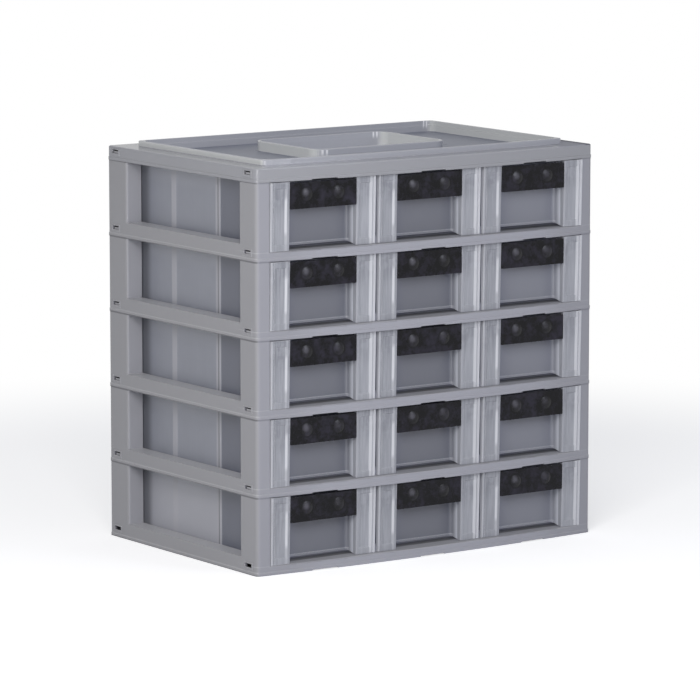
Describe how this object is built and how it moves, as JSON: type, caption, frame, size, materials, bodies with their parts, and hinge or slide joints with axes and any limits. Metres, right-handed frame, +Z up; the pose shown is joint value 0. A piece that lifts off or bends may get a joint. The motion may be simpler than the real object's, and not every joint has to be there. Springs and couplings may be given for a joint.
{
  "type": "parts drawer cabinet",
  "caption": "Stacking plastic parts cabinet: grey open-sided tiers with a bowed front, clear drawers with a black pull plate over a finger recess, and a tray-topped cover.",
  "frame": {"origin": "on the ground under the middle of the cabinet's bounding box", "axes": "+X along the width to the viewer's right when facing the drawers, +Y from the drawer fronts to the rear wall, +Z up"},
  "size_m": [0.36, 0.245, 0.355],
  "materials": {
    "frame_grey": "satin moulded grey plastic",
    "cover_grey": "satin moulded grey plastic",
    "tray_clear": "hazy clear moulded plastic",
    "plate_black": "matte black, slightly dusty",
    "divider_clear": "hazy clear moulded plastic"
  },
  "bodies": {
    "cabinet": {"tier_frame_1": "frame_grey", "tier_frame_2": "frame_grey", "tier_frame_3": "frame_grey", "tier_frame_4": "frame_grey", "tier_frame_5": "frame_grey", "top_cover": "cover_grey"},
    "drawer_1_left": {"drawer_tray_1_left": "tray_clear", "pull_plate_1_left": "plate_black", "drawer_divider_1_left": "divider_clear"},
    "drawer_1_middle": {"drawer_tray_1_middle": "tray_clear", "pull_plate_1_middle": "plate_black", "drawer_divider_1_middle": "divider_clear"},
    "drawer_1_right": {"drawer_tray_1_right": "tray_clear", "pull_plate_1_right": "plate_black", "drawer_divider_1_right": "divider_clear"},
    "drawer_2_left": {"drawer_tray_2_left": "tray_clear", "pull_plate_2_left": "plate_black", "drawer_divider_2_left": "divider_clear"},
    "drawer_2_middle": {"drawer_tray_2_middle": "tray_clear", "pull_plate_2_middle": "plate_black", "drawer_divider_2_middle": "divider_clear"},
    "drawer_2_right": {"drawer_tray_2_right": "tray_clear", "pull_plate_2_right": "plate_black", "drawer_divider_2_right": "divider_clear"},
    "drawer_3_left": {"drawer_tray_3_left": "tray_clear", "pull_plate_3_left": "plate_black", "drawer_divider_3_left": "divider_clear"},
    "drawer_3_middle": {"drawer_tray_3_middle": "tray_clear", "pull_plate_3_middle": "plate_black", "drawer_divider_3_middle": "divider_clear"},
    "drawer_3_right": {"drawer_tray_3_right": "tray_clear", "pull_plate_3_right": "plate_black", "drawer_divider_3_right": "divider_clear"},
    "drawer_4_left": {"drawer_tray_4_left": "tray_clear", "pull_plate_4_left": "plate_black", "drawer_divider_4_left": "divider_clear"},
    "drawer_4_middle": {"drawer_tray_4_middle": "tray_clear", "pull_plate_4_middle": "plate_black", "drawer_divider_4_middle": "divider_clear"},
    "drawer_4_right": {"drawer_tray_4_right": "tray_clear", "pull_plate_4_right": "plate_black", "drawer_divider_4_right": "divider_clear"},
    "drawer_5_left": {"drawer_tray_5_left": "tray_clear", "pull_plate_5_left": "plate_black", "drawer_divider_5_left": "divider_clear"},
    "drawer_5_middle": {"drawer_tray_5_middle": "tray_clear", "pull_plate_5_middle": "plate_black", "drawer_divider_5_middle": "divider_clear"},
    "drawer_5_right": {"drawer_tray_5_right": "tray_clear", "pull_plate_5_right": "plate_black", "drawer_divider_5_right": "divider_clear"}
  },
  "joints": [
    {"name": "slide_1_left", "type": "slide", "parent": "cabinet", "child": "drawer_1_left", "axis": [0, -1, 0], "range_m": [0, 0.165]},
    {"name": "slide_1_middle", "type": "slide", "parent": "cabinet", "child": "drawer_1_middle", "axis": [0, -1, 0], "range_m": [0, 0.165]},
    {"name": "slide_1_right", "type": "slide", "parent": "cabinet", "child": "drawer_1_right", "axis": [0, -1, 0], "range_m": [0, 0.165]},
    {"name": "slide_2_left", "type": "slide", "parent": "cabinet", "child": "drawer_2_left", "axis": [0, -1, 0], "range_m": [0, 0.165]},
    {"name": "slide_2_middle", "type": "slide", "parent": "cabinet", "child": "drawer_2_middle", "axis": [0, -1, 0], "range_m": [0, 0.165]},
    {"name": "slide_2_right", "type": "slide", "parent": "cabinet", "child": "drawer_2_right", "axis": [0, -1, 0], "range_m": [0, 0.165]},
    {"name": "slide_3_left", "type": "slide", "parent": "cabinet", "child": "drawer_3_left", "axis": [0, -1, 0], "range_m": [0, 0.165]},
    {"name": "slide_3_middle", "type": "slide", "parent": "cabinet", "child": "drawer_3_middle", "axis": [0, -1, 0], "range_m": [0, 0.165]},
    {"name": "slide_3_right", "type": "slide", "parent": "cabinet", "child": "drawer_3_right", "axis": [0, -1, 0], "range_m": [0, 0.165]},
    {"name": "slide_4_left", "type": "slide", "parent": "cabinet", "child": "drawer_4_left", "axis": [0, -1, 0], "range_m": [0, 0.165]},
    {"name": "slide_4_middle", "type": "slide", "parent": "cabinet", "child": "drawer_4_middle", "axis": [0, -1, 0], "range_m": [0, 0.165]},
    {"name": "slide_4_right", "type": "slide", "parent": "cabinet", "child": "drawer_4_right", "axis": [0, -1, 0], "range_m": [0, 0.165]},
    {"name": "slide_5_left", "type": "slide", "parent": "cabinet", "child": "drawer_5_left", "axis": [0, -1, 0], "range_m": [0, 0.165]},
    {"name": "slide_5_middle", "type": "slide", "parent": "cabinet", "child": "drawer_5_middle", "axis": [0, -1, 0], "range_m": [0, 0.165]},
    {"name": "slide_5_right", "type": "slide", "parent": "cabinet", "child": "drawer_5_right", "axis": [0, -1, 0], "range_m": [0, 0.165]}
  ]
}
